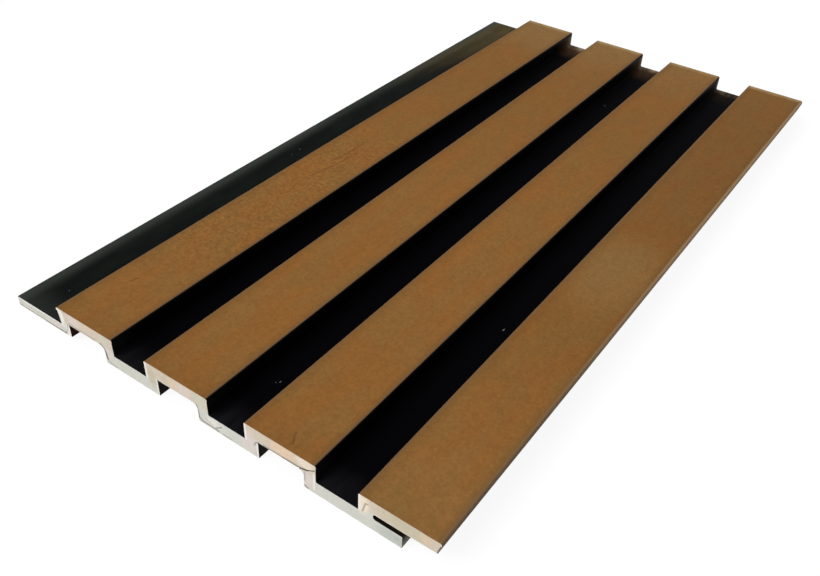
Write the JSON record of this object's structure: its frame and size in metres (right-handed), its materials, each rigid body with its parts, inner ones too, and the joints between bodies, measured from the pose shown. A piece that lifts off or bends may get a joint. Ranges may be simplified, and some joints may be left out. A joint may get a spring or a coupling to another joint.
{
  "type": "coextruded wall panel",
  "caption": "Fluted wall panel extrusion with raised brown slats, black grooves, a side flange and an overhanging lip on a pale foamed core.",
  "frame": {"origin": "on the wall plane under the middle of the panel", "axes": "+X across the slats from the flange to the lip, +Y along the extrusion away from the pictured saw cut, +Z out of the wall"},
  "size_m": [0.165, 0.3, 0.0115],
  "materials": {
    "core": "matte",
    "slat_brown": "matte",
    "groove_black": "satin"
  },
  "bodies": {
    "root": {"core": "core", "flange_liner": "groove_black", "lip_liner": "groove_black", "slat_cap_1": "slat_brown", "slat_cap_2": "slat_brown", "slat_cap_3": "slat_brown", "slat_cap_4": "slat_brown", "groove_liner_1": "groove_black", "groove_liner_2": "groove_black", "groove_liner_3": "groove_black"}
  },
  "joints": []
}
